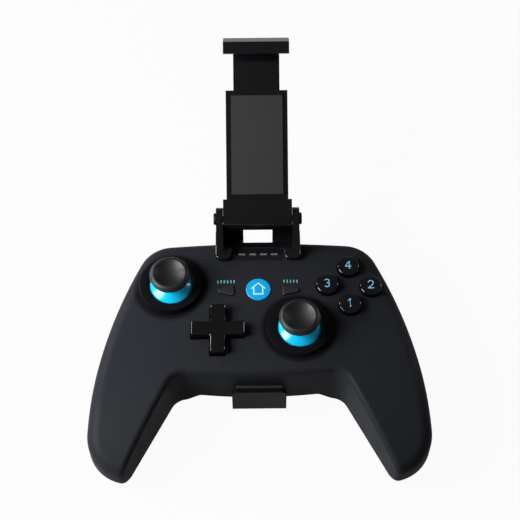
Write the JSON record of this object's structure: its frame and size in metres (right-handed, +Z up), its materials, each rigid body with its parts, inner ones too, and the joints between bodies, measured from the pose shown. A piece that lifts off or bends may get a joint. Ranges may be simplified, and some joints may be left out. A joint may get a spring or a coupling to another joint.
{
  "type": "wireless gamepad",
  "caption": "Two-handed black gamepad with blue-necked thumbsticks, cross pad, round buttons, triggers and a clip-on tilting phone bracket with a telescopic jaw.",
  "frame": {"origin": "on the table, straight below the home button, on the flat underside of the bracket's plate", "axes": "+X to the player's right, +Y away from the player towards the phone bracket, +Z up"},
  "size_m": [0.1522, 0.1909, 0.0919],
  "materials": {
    "shell_black": "fine satin black moulding",
    "bracket_black": "satin black moulding",
    "button_gloss": "gloss black",
    "menu_black": "satin black",
    "window_gloss": "gloss black window",
    "light_pipe": "smoky clear, unlit",
    "stick_rubber": "soft black rubber",
    "dome_blue": "gloss light blue",
    "home_blue": "translucent light blue",
    "pin_black": "gloss black",
    "bright_steel": "plain zinc-plated steel",
    "sensor_grey": "dark grey moulding",
    "yoke_white": "slippery white moulding",
    "board_green": "green solder mask",
    "battery_grey": "wrapped foil",
    "mat_rubber": "silicone",
    "pad_rubber": "soft black foam rubber"
  },
  "bodies": {
    "housing": {"front_shell": "shell_black", "rear_shell": "shell_black", "main_board": "board_green", "battery": "battery_grey", "charge_port": "bright_steel", "shell_screws": "bright_steel", "board_screws": "bright_steel", "status_window": "window_gloss", "status_leds": "light_pipe", "button_membrane": "mat_rubber", "menu_membrane": "mat_rubber", "dpad_membrane": "mat_rubber", "trigger_pins": "bright_steel", "left_trigger_spring": "bright_steel", "right_trigger_spring": "bright_steel", "clip_frame": "bracket_black", "clip_pads": "pad_rubber", "hook_cover": "bracket_black", "hook_screws": "bright_steel", "hook_spring": "bright_steel", "hinge_pin": "pin_black", "left_stick_frame": "bright_steel", "left_stick_sensors": "sensor_grey", "right_stick_frame": "bright_steel", "right_stick_sensors": "sensor_grey"},
    "top_button": {"top_button": "button_gloss"},
    "right_button": {"right_button": "button_gloss"},
    "bottom_button": {"bottom_button": "button_gloss"},
    "left_button": {"left_button": "button_gloss"},
    "home_button": {"home_button": "home_blue"},
    "select_button": {"select_button": "menu_black"},
    "start_button": {"start_button": "menu_black"},
    "dpad_ball": {"dpad_pivot": "bright_steel"},
    "dpad": {"dpad": "button_gloss"},
    "left_rocker": {"left_lower_yoke": "yoke_white"},
    "left_hub": {"left_pivot_hub": "yoke_white"},
    "left_stick": {"left_stick_shaft": "bright_steel", "left_stick_dome": "dome_blue", "left_stick_cap": "stick_rubber"},
    "left_arch": {"left_upper_yoke": "yoke_white"},
    "right_rocker": {"right_lower_yoke": "yoke_white"},
    "right_hub": {"right_pivot_hub": "yoke_white"},
    "right_stick": {"right_stick_shaft": "bright_steel", "right_stick_dome": "dome_blue", "right_stick_cap": "stick_rubber"},
    "right_arch": {"right_upper_yoke": "yoke_white"},
    "left_bumper": {"left_bumper": "button_gloss"},
    "left_trigger": {"left_trigger": "menu_black"},
    "right_bumper": {"right_bumper": "button_gloss"},
    "right_trigger": {"right_trigger": "menu_black"},
    "hook": {"lower_hook": "bracket_black", "hook_pad": "pad_rubber"},
    "cradle": {"phone_cradle": "bracket_black", "cradle_cover": "bracket_black", "cradle_screws": "bright_steel", "phone_pads": "pad_rubber"},
    "jaw": {"upper_jaw": "bracket_black", "jaw_pad": "pad_rubber"}
  },
  "joints": [
    {"name": "top_button_press", "type": "slide", "parent": "housing", "child": "top_button", "axis": [0, 0, -1], "range_m": [0, 0.0015], "stiffness_N_per_m": 300, "springref_m": -0.001},
    {"name": "right_button_press", "type": "slide", "parent": "housing", "child": "right_button", "axis": [0, 0, -1], "range_m": [0, 0.0015], "stiffness_N_per_m": 300, "springref_m": -0.001},
    {"name": "bottom_button_press", "type": "slide", "parent": "housing", "child": "bottom_button", "axis": [0, 0, -1], "range_m": [0, 0.0015], "stiffness_N_per_m": 300, "springref_m": -0.001},
    {"name": "left_button_press", "type": "slide", "parent": "housing", "child": "left_button", "axis": [0, 0, -1], "range_m": [0, 0.0015], "stiffness_N_per_m": 300, "springref_m": -0.001},
    {"name": "home_button_press", "type": "slide", "parent": "housing", "child": "home_button", "axis": [0, 0, -1], "range_m": [0, 0.0008], "stiffness_N_per_m": 300, "springref_m": -0.001},
    {"name": "select_button_press", "type": "slide", "parent": "housing", "child": "select_button", "axis": [0, 0, -1], "range_m": [0, 0.0008], "stiffness_N_per_m": 300, "springref_m": -0.001},
    {"name": "start_button_press", "type": "slide", "parent": "housing", "child": "start_button", "axis": [0, 0, -1], "range_m": [0, 0.0008], "stiffness_N_per_m": 300, "springref_m": -0.001},
    {"name": "dpad_rock_forward", "type": "hinge", "parent": "housing", "child": "dpad_ball", "pos_m": [-0.0183, -0.0212, 0.028], "axis": [1, 0, 0], "range_deg": [-4, 4], "stiffness_Nm_per_rad": 0.05},
    {"name": "dpad_rock_sideways", "type": "hinge", "parent": "dpad_ball", "child": "dpad", "pos_m": [-0.0183, -0.0212, 0.028], "axis": [0, 1, 0], "range_deg": [-4, 4], "stiffness_Nm_per_rad": 0.05},
    {"name": "left_stick_forward", "type": "hinge", "parent": "housing", "child": "left_rocker", "pos_m": [-0.04, 0.0028, 0.0245], "axis": [1, 0, 0], "range_deg": [-18, 18], "stiffness_Nm_per_rad": 0.02},
    {"name": "left_stick_sideways", "type": "hinge", "parent": "left_rocker", "child": "left_hub", "pos_m": [-0.04, 0.0028, 0.0245], "axis": [0, 1, 0], "range_deg": [-18, 18], "stiffness_Nm_per_rad": 0.02},
    {"name": "left_stick_click", "type": "slide", "parent": "left_hub", "child": "left_stick", "axis": [0, 0, -1], "range_m": [0, 0.0005], "stiffness_N_per_m": 1500, "springref_m": -0.0005},
    {"name": "left_arch_turn", "type": "hinge", "parent": "housing", "child": "left_arch", "pos_m": [-0.04, 0.0028, 0.0245], "axis": [0, 1, 0], "range_deg": [-18, 18]},
    {"name": "right_stick_forward", "type": "hinge", "parent": "housing", "child": "right_rocker", "pos_m": [0.0183, -0.0198, 0.0245], "axis": [1, 0, 0], "range_deg": [-18, 18], "stiffness_Nm_per_rad": 0.02},
    {"name": "right_stick_sideways", "type": "hinge", "parent": "right_rocker", "child": "right_hub", "pos_m": [0.0183, -0.0198, 0.0245], "axis": [0, 1, 0], "range_deg": [-18, 18], "stiffness_Nm_per_rad": 0.02},
    {"name": "right_stick_click", "type": "slide", "parent": "right_hub", "child": "right_stick", "axis": [0, 0, -1], "range_m": [0, 0.0005], "stiffness_N_per_m": 1500, "springref_m": -0.0005},
    {"name": "right_arch_turn", "type": "hinge", "parent": "housing", "child": "right_arch", "pos_m": [0.0183, -0.0198, 0.0245], "axis": [0, 1, 0], "range_deg": [-18, 18]},
    {"name": "left_bumper_press", "type": "hinge", "parent": "housing", "child": "left_bumper", "pos_m": [-0.021, 0.0225, 0.0229], "axis": [0, 0, 1], "range_deg": [0, 3], "stiffness_Nm_per_rad": 0.6, "springref_deg": -1.72},
    {"name": "left_trigger_pull", "type": "hinge", "parent": "housing", "child": "left_trigger", "pos_m": [-0.0337, 0.0223, 0.015], "axis": [-1, 0, 0], "range_deg": [0, 15], "stiffness_Nm_per_rad": 0.06, "springref_deg": -8.59},
    {"name": "right_bumper_press", "type": "hinge", "parent": "housing", "child": "right_bumper", "pos_m": [0.021, 0.0225, 0.0229], "axis": [0, 0, -1], "range_deg": [0, 3], "stiffness_Nm_per_rad": 0.6, "springref_deg": -1.72},
    {"name": "right_trigger_pull", "type": "hinge", "parent": "housing", "child": "right_trigger", "pos_m": [0.0337, 0.0223, 0.015], "axis": [-1, 0, 0], "range_deg": [0, 15], "stiffness_Nm_per_rad": 0.06, "springref_deg": -8.59},
    {"name": "hook_pull", "type": "slide", "parent": "housing", "child": "hook", "axis": [0, -0.9987, 0.0513], "range_m": [0, 0.01], "stiffness_N_per_m": 250, "springref_m": -0.004, "deforming": ["hook_spring"]},
    {"name": "cradle_tilt", "type": "hinge", "parent": "housing", "child": "cradle", "pos_m": [0, 0.0316, 0.0449], "axis": [1, 0, 0], "range_deg": [-20, 55]},
    {"name": "jaw_slide", "type": "slide", "parent": "cradle", "child": "jaw", "axis": [0, 0.8526, 0.5225], "range_m": [-0.016, 0.014]}
  ],
  "couplings": [
    {"joint": "left_arch_turn", "follows": "left_stick_sideways", "ratio": 1},
    {"joint": "right_arch_turn", "follows": "right_stick_sideways", "ratio": 1}
  ]
}
